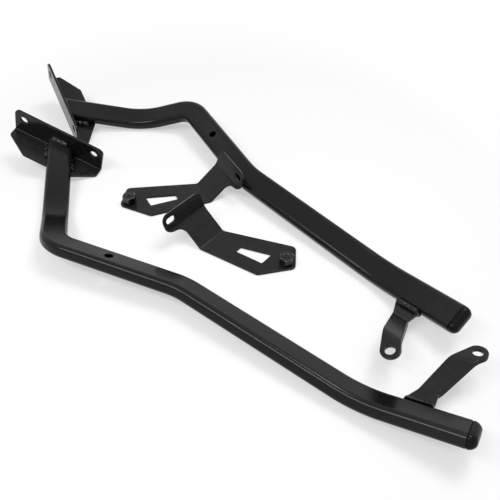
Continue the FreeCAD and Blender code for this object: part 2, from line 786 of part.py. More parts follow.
# Origin at the middle of the kit's footprint, on the floor
box = FreeCAD.BoundBox()
for item in pieces:
    box.add(item.Shape.optimalBoundingBox(False))
middle = Vector(box.Center.x, box.Center.y, box.ZMin)
for item in pieces:
    item.Placement.Base = item.Placement.Base - middle
doc.recompute()

for item in doc.Objects:
    if "Invalid" in item.State or "Error" in item.State:
        raise RuntimeError("%s did not recompute: %s" % (item.Label, item.getStatusString()))
for item in pieces:
    if item.Shape.isNull() or not item.Shape.isValid() or not item.Shape.Solids:
        raise RuntimeError("%s has no valid solid" % item.Label)

os.makedirs("parts", exist_ok=True)
for item in pieces:
    item.Shape.exportStep(os.path.join("parts", item.Label + ".step"))
    print("%-26s %d solid %10.1f mm3" % (item.Label, len(item.Shape.Solids), item.Shape.Volume))
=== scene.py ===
import json
import logging
import math
from dataclasses import dataclass
from enum import Enum
from typing import Any, Optional, Union

import bmesh
import bpy
from mathutils import Matrix, Vector


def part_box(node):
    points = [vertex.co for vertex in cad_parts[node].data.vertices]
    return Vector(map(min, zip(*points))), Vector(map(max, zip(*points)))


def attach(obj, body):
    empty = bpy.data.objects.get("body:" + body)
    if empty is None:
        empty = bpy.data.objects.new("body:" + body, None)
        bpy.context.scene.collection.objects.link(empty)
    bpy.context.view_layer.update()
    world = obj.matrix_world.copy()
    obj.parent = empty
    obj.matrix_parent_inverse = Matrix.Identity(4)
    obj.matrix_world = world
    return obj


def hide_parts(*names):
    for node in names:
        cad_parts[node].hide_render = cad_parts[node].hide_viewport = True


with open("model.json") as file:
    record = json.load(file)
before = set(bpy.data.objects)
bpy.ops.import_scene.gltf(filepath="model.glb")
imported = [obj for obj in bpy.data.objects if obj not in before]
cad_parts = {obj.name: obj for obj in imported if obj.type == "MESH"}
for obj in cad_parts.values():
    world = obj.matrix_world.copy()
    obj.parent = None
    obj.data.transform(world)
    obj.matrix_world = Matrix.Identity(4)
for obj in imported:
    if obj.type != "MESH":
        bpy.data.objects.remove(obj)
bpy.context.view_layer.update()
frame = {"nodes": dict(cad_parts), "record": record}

log = logging.getLogger("top_case_rack")

BODY = "root"
UP = Vector((0.0, 0.0, 1.0))
ALONG = Vector((1.0, 0.0, 0.0))
ACROSS = Vector((0.0, 1.0, 0.0))
KIT_MIDDLE = (0.051816, -0.006588, 0.0)
MERGE = 1e-6
FLAT_WITHIN = math.radians(0.4)
SHARP_FROM = math.radians(32.0)
PROUD_FROM = math.radians(10.0)
# Mesh attribute of proud edges: real edge wear, and on the powder coat also a painted edge
# highlight.
WEAR_AND_SHEEN_ATTRIBUTE = "edge_wear_and_sheen"
BEND_ATTRIBUTE = "bend_radius"
ALONG_ATTRIBUTE = "along_bead"
ACROSS_ATTRIBUTE = "across_bead"
SMOOTH_NOISE = 1.0
FINE_NOISE = 2.0
CLOUDY_NOISE = 3.0
SCRATCHY_NOISE = 6.0
BEND_STEPS = 22
CORNER_STEPS = 8
WANDER_SCALE = 130.0
WANDER_SEED = 7.3
WANDER_PHASE = 1.1
RIPPLE_LEVEL = 0.45
RIPPLE_LEAST = 0.65
RIPPLE_SPREAD = 0.7
THREAD_STEPS = 30
RIDGE_SIDES = 6

Triple = tuple[float, float, float]
Value = Union[float, "Wire"]
Ring = list[bmesh.types.BMVert]


class Side(Enum):
    LEFT = ("left", 1)
    RIGHT = ("right", -1)

    @property
    def word(self) -> str:
        """Name that starts the side's node names."""
        return self.value[0]

    @property
    def hand(self) -> int:
        """Sign of the side's mirroring."""
        return self.value[1]

    def node(self, piece: str) -> str:
        """Name of one of the side's pieces or nodes."""
        return "%s_%s" % (self.word, piece)


class Wire:
    """A node's output that can be written into Python arithmetic."""

    def __init__(self, graph: "Graph", socket: bpy.types.NodeSocket) -> None:
        """Wrap a socket of a graph's node."""
        self.graph = graph
        self.socket = socket

    def _math(self, operation: str, *values: Value) -> "Wire":
        """Add a Math node.

        Args:
            operation: The Math node's operation.
            values: Numbers or wires for its inputs, in order.

        Returns:
            The node's result.
        """
        inputs = dict(enumerate(values))
        return self.graph.node("ShaderNodeMath", {"operation": operation}, inputs)

    def __add__(self, other: Value) -> "Wire":
        """Sum."""
        return self._math("ADD", self, other)

    def __radd__(self, other: Value) -> "Wire":
        """Sum with the number first."""
        return self._math("ADD", other, self)

    def __sub__(self, other: Value) -> "Wire":
        """Difference."""
        return self._math("SUBTRACT", self, other)

    def __rsub__(self, other: Value) -> "Wire":
        """Difference with the number first."""
        return self._math("SUBTRACT", other, self)

    def __mul__(self, other: Value) -> "Wire":
        """Product."""
        return self._math("MULTIPLY", self, other)

    def __rmul__(self, other: Value) -> "Wire":
        """Product with the number first."""
        return self._math("MULTIPLY", other, self)

    def __truediv__(self, other: Value) -> "Wire":
        """Quotient."""
        return self._math("DIVIDE", self, other)

    def __rtruediv__(self, other: Value) -> "Wire":
        """Quotient with the number first."""
        return self._math("DIVIDE", other, self)

    def __pow__(self, other: Value) -> "Wire":
        """Power."""
        return self._math("POWER", self, other)

    def __rpow__(self, other: Value) -> "Wire":
        """Power with the number first."""
        return self._math("POWER", other, self)

    def __abs__(self) -> "Wire":
        """Size without sign."""
        return self._math("ABSOLUTE", self)

    def sine(self) -> "Wire":
        """Sine of an angle in radians."""
        return self._math("SINE", self)

    def above(self, limit: Value) -> "Wire":
        """1 where the wire is over a limit, else 0."""
        return self._math("GREATER_THAN", self, limit)

    def capped(self) -> "Wire":
        """The wire held between 0 and 1."""
        return self._math("MINIMUM", self._math("MAXIMUM", self, 0.0), 1.0)


class Graph:
    """A node tree that nodes are added to by type, settings and inputs."""

    def __init__(self, tree: bpy.types.NodeTree) -> None:
        """Take the tree that is added to."""
        self.tree = tree

    def node(
        self,
        kind: str,
        settings: Optional[dict[str, Any]] = None,
        inputs: Optional[dict[Union[str, int], Any]] = None,
        output: Union[str, int] = 0,
    ) -> Wire:
        """Add a node, set it up and link it.

        Args:
            kind: The node's type.
            settings: Properties that are set before the inputs.
            inputs: Values or wires by the socket's name or place.
            output: Name or place of the output that is handed back.

        Returns:
            The output as a wire, or the first input of a node that has no output.
        """
        made = self.tree.nodes.new(kind)
        for key, value in (settings or {}).items():
            setattr(made, key, value)
        for key, value in (inputs or {}).items():
            if isinstance(value, Wire):
                self.tree.links.new(value.socket, made.inputs[key])
            else:
                made.inputs[key].default_value = value
        if not made.outputs:
            return Wire(self, made.inputs[0])
        return Wire(self, made.outputs[output])

    def noise(self, place: Wire, scale: float, detail: float, rough: float = 0.5) -> Wire:
        """Add a noise pattern.

        Args:
            place: Coordinates in metres.
            scale: Patches in a metre.
            detail: Octaves of finer noise.
            rough: Weight of each finer octave.

        Returns:
            The noise level, about 0 to 1.
        """
        inputs = {"Vector": place, "Scale": scale, "Detail": detail, "Roughness": rough}
        return self.node("ShaderNodeTexNoise", {}, inputs)

    def blend(self, amount: Wire, first: Union[Triple, Wire], second: Triple) -> Wire:
        """Mix two linear colours.

        Args:
            amount: 0 for the first colour, 1 for the second.
            first: Colour, or the wire of one.
            second: Colour.

        Returns:
            The mixed colour.
        """
        start = first if isinstance(first, Wire) else (*first, 1.0)
        inputs = {0: amount, 6: start, 7: (*second, 1.0)}
        return self.node("ShaderNodeMix", {"data_type": "RGBA"}, inputs, output=2)

    def bump(self, skin: Wire) -> Wire:
        """Normal of a skin whose height is in metres."""
        inputs = {"Strength": 1.0, "Distance": 1.0, "Height": skin}
        return self.node("ShaderNodeBump", {}, inputs)

    def wear_and_sheen(self) -> Wire:
        """How worn the surface is, and on the coat how much painted edge highlight it has, as kept
        on the mesh of a piece.
        """
        return self.node("ShaderNodeAttribute", {"attribute_name": WEAR_AND_SHEEN_ATTRIBUTE}, output="Fac")

    def kept(self, name: str) -> Wire:
        """A number kept on the points that a geometry tree starts from."""
        return self.node("GeometryNodeInputNamedAttribute", {"data_type": "FLOAT"}, {"Name": name})

    def rounded(self, curve: Wire, steps: int, radius: Wire) -> Wire:
        """A curve with its corners rounded in a number of steps."""
        inputs = {"Curve": curve, "Count": steps, "Radius": radius}
        return self.node("GeometryNodeFilletCurve", {"mode": "POLY"}, inputs)


def new_surface(
    name: str, gloss: float
) -> tuple[bpy.types.Material, Graph, bpy.types.Node, Wire]:
    """Start a material with a Principled shader.

    Args:
        name: The material's name.
        gloss: The shader's specular level.

    Returns:
        The material, its graph, its shader node and the object's own coordinates.
    """
    material = bpy.data.materials.new(name)
    material.use_nodes = True
    graph = Graph(material.node_tree)
    shader = material.node_tree.nodes["Principled BSDF"]
    shader.inputs["Specular IOR Level"].default_value = gloss
    place = graph.node("ShaderNodeTexCoord", output="Object")
    return material, graph, shader, place


def feed(graph: Graph, shader: bpy.types.Node, **wires: Wire) -> None:
    """Link wires to a shader's inputs.

    Args:
        graph: The material's graph.
        shader: The shader node.
        wires: Wires by input name, with _ for a space.
    """
    for key, wire in wires.items():
        graph.tree.links.new(wire.socket, shader.inputs[key.replace("_", " ")])


@dataclass(frozen=True)
class PowderCoat:
    """Baked black powder coat on steel, with an orange peel skin and its proud edges lighter: a
    little wear and a painted edge highlight.

    Depths are in metres, scales in patches to the metre, colours linear.
    """

    name: str
    body: Triple = (0.0026, 0.0028, 0.0032)
    thin: Triple = (0.0046, 0.0049, 0.0055)
    # Lighter colour of proud edges and dust specks: edge wear and dust, plus a painted edge
    # highlight on the edges.
    wear_dust_and_sheen: Triple = (0.012, 0.0125, 0.0135)
    gloss: float = 0.20
    rough_low: float = 0.15
    rough_spread: float = 0.06
    rough_grain: float = 0.05
    patch_scale: float = 38.0
    rub_scale: float = 160.0
    rub_gain: float = 1.5
    rub_polish: float = 0.03
    peel_scale: float = 620.0
    peel_depth: float = 0.000012
    grain_scale: float = 2600.0
    grain_depth: float = 0.000008
    dust_scale: float = 210.0
    dust_level: float = 0.055
    dust_from: float = 0.56
    dust_share: float = 0.2

    def material(self) -> bpy.types.Material:
        """Build the coat.

        Returns:
            The coat's material.
        """
        material, graph, shader, place = new_surface(self.name, self.gloss)
        patch = graph.noise(place, self.patch_scale, CLOUDY_NOISE)
        peel = graph.noise(place, self.peel_scale, SMOOTH_NOISE)
        grain = graph.noise(place, self.grain_scale, FINE_NOISE)
        worn = graph.noise(place, self.rub_scale, CLOUDY_NOISE)
        # Mask of proud edges: edge wear plus a painted edge highlight.
        wear_and_sheen = (graph.wear_and_sheen() * worn * self.rub_gain).capped()
        cells = {"Vector": place, "Scale": self.dust_scale}
        speck = graph.node("ShaderNodeTexVoronoi", {"feature": "F1"}, cells)
        speck = (1.0 - speck / self.dust_level).capped() * patch.above(self.dust_from)
        shade = graph.blend(patch, self.body, self.thin)
        # Proud edges and dust specks blend to the lighter colour; on the edges that is wear plus a
        # painted highlight.
        coat = graph.blend((wear_and_sheen + speck * self.dust_share).capped(), shade, self.wear_dust_and_sheen)
        rough = self.rough_low + patch * self.rough_spread
        rough = rough + grain * self.rough_grain - wear_and_sheen * self.rub_polish
        skin = peel * self.peel_depth + grain * self.grain_depth
        feed(graph, shader, Base_Color=coat, Roughness=rough, Normal=graph.bump(skin))
        return material


@dataclass(frozen=True)
class GlossPlastic:
    """Moulded black plastic of the tube plugs, with faint flow marks and fine handling scuffs.

    Depths are in metres, scales in patches to the metre, colours linear.
    """

    name: str
    body: Triple = (0.0026, 0.0027, 0.0030)
    worn: Triple = (0.0065, 0.0066, 0.0070)
    gloss: float = 0.12
    refraction: float = 1.49
    rough_low: float = 0.20
    rough_spread: float = 0.10
    rough_scuff: float = 0.12
    flow_scale: float = 90.0
    flow_depth: float = 0.000010
    grain_scale: float = 3200.0
    grain_depth: float = 0.000004
    scuff_scale: float = 420.0
    scuff_weight: float = 0.7
    scuff_from: float = 0.56
    scuff_gain: float = 7.0

    def material(self) -> bpy.types.Material:
        """Build the plastic.

        Returns:
            The plastic's material.
        """
        material, graph, shader, place = new_surface(self.name, self.gloss)
        shader.inputs["IOR"].default_value = self.refraction
        flow = graph.noise(place, self.flow_scale, FINE_NOISE)
        grain = graph.noise(place, self.grain_scale, FINE_NOISE)
        scuff = graph.noise(place, self.scuff_scale, SCRATCHY_NOISE, self.scuff_weight)
        scuff = ((scuff - self.scuff_from) * self.scuff_gain).capped()
        shade = graph.blend(scuff, self.body, self.worn)
        rough = self.rough_low + flow * self.rough_spread + scuff * self.rough_scuff
        skin = flow * self.flow_depth + grain * self.grain_depth
        feed(graph, shader, Base_Color=shade, Roughness=rough, Normal=graph.bump(skin))
        return material


@dataclass(frozen=True)
class NutFinish:
    """Dark plated steel of the nuts, with turning marks and bare metal showing on its corners.

    Depths are in metres, scales in patches to the metre, colours linear.
    """

    name: str
    plated: Triple = (0.0034, 0.0036, 0.0041)
    bare: Triple = (0.16, 0.16, 0.17)
    gloss: float = 0.25
    rough_low: float = 0.13
    rough_spread: float = 0.10
    patch_scale: float = 240.0
    turning_scale: float = 5200.0
    turning_stretch: Triple = (0.2, 0.2, 1.0)
    turning_depth: float = 0.000006
    rub_scale: float = 900.0
    rub_gain: float = 2.2
    rub_drop: float = 0.45
    rub_most: float = 0.8
    rub_polish: float = 0.05

    def material(self) -> bpy.types.Material:
        """Build the plating.

        Returns:
            The plating's material.
        """
        material, graph, shader, place = new_surface(self.name, self.gloss)
        patch = graph.noise(place, self.patch_scale, CLOUDY_NOISE)
        stretch = {"Vector": place, "Scale": self.turning_stretch}
        stretched = graph.node("ShaderNodeMapping", {}, stretch)
        turning = graph.noise(stretched, self.turning_scale, FINE_NOISE)
        worn = graph.noise(place, self.rub_scale, CLOUDY_NOISE) * self.rub_gain - self.rub_drop
        wear_and_sheen = (graph.wear_and_sheen() * worn).capped() * self.rub_most
        shade = graph.blend(wear_and_sheen, self.plated, self.bare)
        rough = self.rough_low + patch * self.rough_spread - wear_and_sheen * self.rub_polish
        skin = graph.bump(turning * self.turning_depth)
        feed(graph, shader, Base_Color=shade, Roughness=rough, Metallic=wear_and_sheen, Normal=skin)
        return material


class Finish(Enum):
    ARM = "arm_coat"
    STAY = "stay_coat"
    WELD = "weld_coat"
    NUT = "nut_steel"
    CAP = "cap_plastic"


class FinishRack:
    """Builds each finish once and dresses pieces with it."""

    def __init__(self) -> None:
        """Build the finishes."""
        makers = {
            Finish.ARM: PowderCoat("arm_powder_coat"),
            Finish.STAY: PowderCoat("stay_powder_coat"),
            Finish.WELD: PowderCoat(
                "weld_powder_coat",
                gloss=0.35,
                rough_low=0.12,
                rough_spread=0.10,
                peel_scale=420.0,
                peel_depth=0.00003,
                wear_dust_and_sheen=(0.05, 0.051, 0.054),
            ),
            Finish.NUT: NutFinish("nut_dark_plating"),
            Finish.CAP: GlossPlastic("cap_black_plastic"),
        }
        self.materials = {key: maker.material() for key, maker in makers.items()}

    def dress(self, piece: bpy.types.Object, finish: Finish, node: Optional[str] = None) -> None:
        """Give a piece its finish and fix it to the body.

        Args:
            piece: The finished piece, in place.
            finish: What it is coated with or made of.
            node: The CAD node that it stands for, if any.
        """
        piece.data.materials.clear()
        piece.data.materials.append(self.materials[finish])
        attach(piece, BODY)
        if node is not None:
            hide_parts(node)
        log.info("%s: %d faces, %s", piece.name, len(piece.data.polygons), finish.value)


def new_piece(name: str, mesh: bpy.types.Mesh) -> bpy.types.Object:
    """Put a mesh in the scene as an object at the origin.

    Args:
        name: The object's name.
        mesh: Its mesh, in place.

    Returns:
        The object.
    """
    piece = bpy.data.objects.new(name, mesh)
    bpy.context.scene.collection.objects.link(piece)
    return piece


def as_piece(
    work: bmesh.types.BMesh, name: str, lie: Optional[Matrix] = None
) -> bpy.types.Object:
    """Turn a mesh that is being built into a piece.

    Args:
        work: The mesh, which is freed.
        name: The piece's name.
        lie: Where the mesh is moved to, if it isn't in place.

    Returns:
        The piece.
    """
    mesh = bpy.data.meshes.new(name)
    work.to_mesh(mesh)
    work.free()
    if lie is not None:
        mesh.transform(lie)
    return new_piece(name, mesh)


def shade_smooth(mesh: bpy.types.Mesh, sharp_from: Optional[float] = None) -> None:
    """Shade a mesh smoothly.

    Args:
        mesh: The mesh.
        sharp_from: Angle in radians from which an edge stays sharp, if any does.
    """
    for polygon in mesh.polygons:
        polygon.use_smooth = True
    if sharp_from is not None:
        mesh.set_sharp_from_angle(angle=sharp_from)


def settle(piece: bpy.types.Object) -> None:
    """Turn a piece's modifiers into plain mesh.

    Args:
        piece: Object whose modifiers are ready.
    """
    depsgraph = bpy.context.evaluated_depsgraph_get()
    mesh = bpy.data.meshes.new_from_object(piece.evaluated_get(depsgraph), depsgraph=depsgraph)
    old = piece.data
    piece.modifiers.clear()
    piece.data = mesh
    bpy.data.meshes.remove(old)


def keep_flats(piece: bpy.types.Object) -> None:
    """Shade a piece smoothly while its large flat faces stay flat.

    Args:
        piece: Object with a finished mesh.
    """
    shade_smooth(piece.data)
    weighted = piece.modifiers.new("Flats", "WEIGHTED_NORMAL")
    weighted.mode = "FACE_AREA_WITH_ANGLE"
    weighted.weight = 100
    settle(piece)


def softened(
    source: bpy.types.Mesh, name: str, width: float, steps: int = 2
) -> bpy.types.Object:
    """Copy a mesh with its sharp edges eased, and those that stand out marked for wear and a
    painted edge highlight.

    Args:
        source: The mesh, in place.
        name: The new piece's name.
        width: How far the easing reaches from each edge.
        steps: Faces across the easing.

    Returns:
        The copy, with each corner's wear and painted edge highlight kept in an attribute.
    """
    work = bmesh.new()
    work.from_mesh(source)
    bmesh.ops.remove_doubles(work, verts=work.verts, dist=MERGE)
    bmesh.ops.dissolve_limit(work, angle_limit=FLAT_WITHIN, verts=work.verts, edges=work.edges)
    joined = [edge for edge in work.edges if edge.is_manifold]
    eased = bmesh.ops.bevel(
        work,
        geom=[edge for edge in joined if edge.calc_face_angle() > SHARP_FROM],
        offset=width,
        offset_type="OFFSET",
        segments=steps,
        profile=0.5,
        affect="EDGES",
        clamp_overlap=False,
    )
    # Proud edges are marked for wear and a painted edge highlight.
    wear_and_sheen = work.verts.layers.float.new(WEAR_AND_SHEEN_ATTRIBUTE)
    for vertex in {corner for face in eased["faces"] for corner in face.verts}:
        stands_out = max(edge.calc_face_angle_signed(0.0) for edge in vertex.link_edges)
        vertex[wear_and_sheen] = 1.0 if stands_out > PROUD_FROM else 0.0
    piece = as_piece(work, name)
    keep_flats(piece)
    return piece


def softened_node(node: str, width: float) -> bpy.types.Object:
    """Copy a CAD node with its sharp edges eased by a width."""
    return softened(frame["nodes"][node].data, node + "_eased", width)


def axes(origin: Vector, x_axis: Vector, z_axis: Vector) -> Matrix:
    """Work out a frame's matrix.

    Args:
        origin: The frame's origin.
        x_axis: Its X axis.
        z_axis: Its Z axis.

    Returns:
        The matrix.
    """
    y_axis = z_axis.cross(x_axis)
    turn = Matrix((x_axis, y_axis, z_axis)).transposed().to_4x4()
    return Matrix.Translation(origin) @ turn


def spun(degrees: float, axis: str) -> Matrix:
    """Matrix of a turn about the X, Y or Z axis."""
    return Matrix.Rotation(math.radians(degrees), 4, axis)


def turned(vector: Vector, axis: Vector, degrees: float) -> Vector:
    """Return a vector turned about an axis."""
    return Matrix.Rotation(math.radians(degrees), 3, axis) @ vector


def join_rings(work: bmesh.types.BMesh, loops: list[Ring]) -> None:
    """Skin a run of rings.

    Args:
        work: The mesh being built.
        loops: Rings of vertices, all with the same count.
    """
    count = len(loops[0])
    for first, second in zip(loops[:-1], loops[1:]):
        for index in range(count):
            nxt = (index + 1) % count
            work.faces.new((first[index], first[nxt], second[nxt], second[index]))


def start_tree(
    name: str, sizes: tuple[str, ...], gives: str, takes: Optional[str] = None
) -> tuple[Graph, dict[str, Wire]]:
    """Start a geometry tree with named inputs.

    Args:
        name: The tree's name.
        sizes: Names of its inputs for numbers. One for the finish is added.
        gives: Name of the mesh that it hands back.
        takes: Name of the mesh that it starts from, if any.

    Returns:
        The tree's graph, and its inputs by name.
    """
    tree = bpy.data.node_groups.new(name, "GeometryNodeTree")
    kinds = {takes: "NodeSocketGeometry"} if takes else {}
    kinds.update({size: "NodeSocketFloat" for size in sizes})
    kinds["Finish"] = "NodeSocketMaterial"
    for key, kind in kinds.items():
        tree.interface.new_socket(key, in_out="INPUT", socket_type=kind)
    tree.interface.new_socket(gives, in_out="OUTPUT", socket_type="NodeSocketGeometry")
    graph = Graph(tree)
    return graph, {key: graph.node("NodeGroupInput", output=key) for key in kinds}


def end_tree(graph: Graph, shape: Wire, finish: Wire) -> bpy.types.NodeTree:
    """End a geometry tree in plain mesh with its finish.

    Args:
        graph: The tree's graph.
        shape: The finished shape.
        finish: The tree's input for the finish.

    Returns:
        The tree.
    """
    plain = graph.node("GeometryNodeRealizeInstances", {}, {"Geometry": shape})
    coated = graph.node("GeometryNodeSetMaterial", {}, {"Geometry": plain, "Material": finish})
    graph.node("NodeGroupOutput", {}, {0: coated})
    return graph.tree


def bending_tree() -> bpy.types.NodeTree:
    """Build the tree that bends a round-cornered tube along the line of its legs.

    Returns:
        A tree with Legs, Width, Height, Corner, Tilt and Finish inputs.
    """
    sizes = ("Width", "Height", "Corner", "Tilt")
    graph, given = start_tree("bent_tube", sizes, "Tube", "Legs")
    line = graph.node("GeometryNodeMeshToCurve", {}, {"Mesh": given["Legs"]})
    line = graph.rounded(line, BEND_STEPS, graph.kept(BEND_ATTRIBUTE))
    line = graph.node("GeometryNodeSetCurveNormal", {"mode": "MINIMUM_TWIST"}, {"Curve": line})
    line = graph.node("GeometryNodeSetCurveTilt", {}, {"Curve": line, "Tilt": given["Tilt"]})
    sides = {"Width": given["Width"], "Height": given["Height"]}
    section = graph.node("GeometryNodeCurvePrimitiveQuadrilateral", {"mode": "RECTANGLE"}, sides)
    section = graph.rounded(section, CORNER_STEPS, given["Corner"])
    swept = graph.node("GeometryNodeCurveToMesh", {}, {"Curve": line, "Profile Curve": section})
    return end_tree(graph, swept, given["Finish"])


def ripple_tree() -> bpy.types.NodeTree:
    """Build the tree that raises a weld's ripples along its bead.

    Returns:
        A tree with Bead, Pitch, Height, Bow, Seed and Finish inputs.
    """
    sizes = ("Pitch", "Height", "Bow", "Seed")
    graph, given = start_tree("weld_ripples", sizes, "Bead", "Bead")
    pitch, height, bow, seed = (given[size] for size in sizes)
    along = graph.kept(ALONG_ATTRIBUTE)
    wander = graph.node(
        "ShaderNodeTexNoise",
        {"noise_dimensions": "1D", "normalize": True},
        {"W": along * WANDER_SCALE + seed * WANDER_SEED, "Detail": SMOOTH_NOISE, "Scale": 1.0},
    )
    lean = (graph.kept(ACROSS_ATTRIBUTE) * 2.0 - 1.0) ** 2.0
    phase = along / pitch + lean * bow + wander * WANDER_PHASE + seed
    lump = abs((phase * math.pi).sine())
    middle = (1.0 - lean).capped()
    lift = (lump - RIPPLE_LEVEL) * height * middle * (RIPPLE_LEAST + wander * RIPPLE_SPREAD)
    outwards = {0: graph.node("GeometryNodeInputNormal"), "Scale": lift}
    offset = graph.node("ShaderNodeVectorMath", {"operation": "SCALE"}, outwards)
    moved = {"Geometry": given["Bead"], "Offset": offset}
    return end_tree(graph, graph.node("GeometryNodeSetPosition", {}, moved), given["Finish"])


def thread_tree() -> bpy.types.NodeTree:
    """Build the tree that winds a thread's ridge up a bore.

    Returns:
        A tree with Radius, Ridge, Turns, Height and Finish inputs.
    """
    graph, given = start_tree("nut_thread", ("Radius", "Ridge", "Turns", "Height"), "Thread")
    winding = {
        "Resolution": THREAD_STEPS,
        "Rotations": given["Turns"],
        "Start Radius": given["Radius"],
        "End Radius": given["Radius"],
        "Height": given["Height"],
    }
    helix = graph.node("GeometryNodeCurveSpiral", {}, winding)
    ridge = {"Resolution": RIDGE_SIDES, "Radius": given["Ridge"]}
    section = graph.node("GeometryNodeCurvePrimitiveCircle", {}, ridge)
    swept = {"Curve": helix, "Profile Curve": section, "Fill Caps": True}
    return end_tree(graph, graph.node("GeometryNodeCurveToMesh", {}, swept), given["Finish"])


def run_tree(piece: bpy.types.Object, tree: bpy.types.NodeTree, values: dict[str, Any]) -> None:
    """Run a geometry tree on a piece and keep the result as plain mesh.

    Args:
        piece: Object that the tree starts from.
        tree: The geometry tree.
        values: Its inputs by name.
    """
    modifier = piece.modifiers.new(tree.name, "NODES")
    modifier.node_group = tree
    for item in tree.interface.items_tree:
        if item.in_out == "INPUT" and item.name in values:
            modifier[item.identifier] = values[item.name]
    settle(piece)


@dataclass
class WeldBead:
    """A fillet weld in a corner.

    It runs along +X, with one leg up +Z and the other out along +Y at a slope. Sizes are in
    metres, angles in degrees.
    """

    name: str
    length: float
    leg: float
    slope: float = 0.0
    bulge: float = 0.0011
    sink: float = 0.0004
    pitch: float = 0.0066
    height: float = 0.0008
    bow: float = 0.30
    seed: float = 0.0
    rings: int = 72
    arc_steps: int = 12
    round_end: float = 0.55
    end_share: float = 0.28
    crease: float = 50.0

    def section(self) -> list[Triple]:
        """Work out the bead's section.

        Returns:
            Points as (out, up, place across the face), with -1 for the sunk back.
        """
        lean = math.radians(self.slope)
        half = (math.pi / 2 - lean) / 2
        crest = self.leg * math.cos(half) + self.bulge
        centre = (crest**2 - self.leg**2) / (2 * self.bulge)
        radius = crest - centre
        spread = math.asin(self.leg * math.sin(half) / radius)
        middle = lean + half
        points = []
        for step in range(self.arc_steps + 1):
            place = step / self.arc_steps
            swing = middle + spread * (2 * place - 1)
            out = centre * math.cos(middle) + radius * math.cos(swing)
            up = centre * math.sin(middle) + radius * math.sin(swing)
            points.append((out, up, place))
        under = Vector((math.sin(lean), -math.cos(lean))) * self.sink
        back = Vector((-self.sink, 0.0))
        foot, head = points[0], points[-1]
        points.append((head[0] + back.x, head[1] + back.y, -1.0))
        points.append((back.x + under.x, under.y, -1.0))
        points.append((foot[0] + under.x, foot[1] + under.y, -1.0))
        return points

    def swell(self, x: float) -> float:
        """Work out how full the bead is at a place along it.

        Args:
            x: Distance from the bead's start.

        Returns:
            1 along the bead, less towards its round ends.
        """
        near = min(x, self.length - x) / (self.leg * self.round_end)
        dome = math.sqrt(max(0.0, 1.0 - (1.0 - min(near, 1.0)) ** 2))
        return dome * (1.0 - self.end_share) + self.end_share

    def build(
        self, lie: Matrix, tree: bpy.types.NodeTree, material: bpy.types.Material
    ) -> bpy.types.Object:
        """Build the bead where it lies.

        Args:
            lie: The bead's frame; a mirrored frame turns the faces round.
            tree: The tree that raises the ripples.
            material: The bead's coat.

        Returns:
            The rippled bead.
        """
        work = bmesh.new()
        along = work.verts.layers.float.new(ALONG_ATTRIBUTE)
        across = work.verts.layers.float.new(ACROSS_ATTRIBUTE)
        section = self.section()
        loops = []
        for ring in range(self.rings + 1):
            x = self.length * ring / self.rings
            scale = self.swell(x)
            loop = []
            for out, up, place in section:
                vertex = work.verts.new((x, out * scale, up * scale))
                vertex[along] = x
                vertex[across] = max(place, 0.0)
                loop.append(vertex)
            loops.append(loop)
        join_rings(work, loops)
        work.faces.new(loops[0])
        work.faces.new(list(reversed(loops[-1])))
        bmesh.ops.recalc_face_normals(work, faces=work.faces)
        piece = as_piece(work, self.name)
        values = {
            "Pitch": self.pitch,
            "Height": self.height,
            "Bow": self.bow,
            "Seed": self.seed,
            "Finish": material,
        }
        run_tree(piece, tree, values)
        piece.data.transform(lie)
        if lie.determinant() < 0.0:
            piece.data.flip_normals()
        shade_smooth(piece.data, math.radians(self.crease))
        return piece


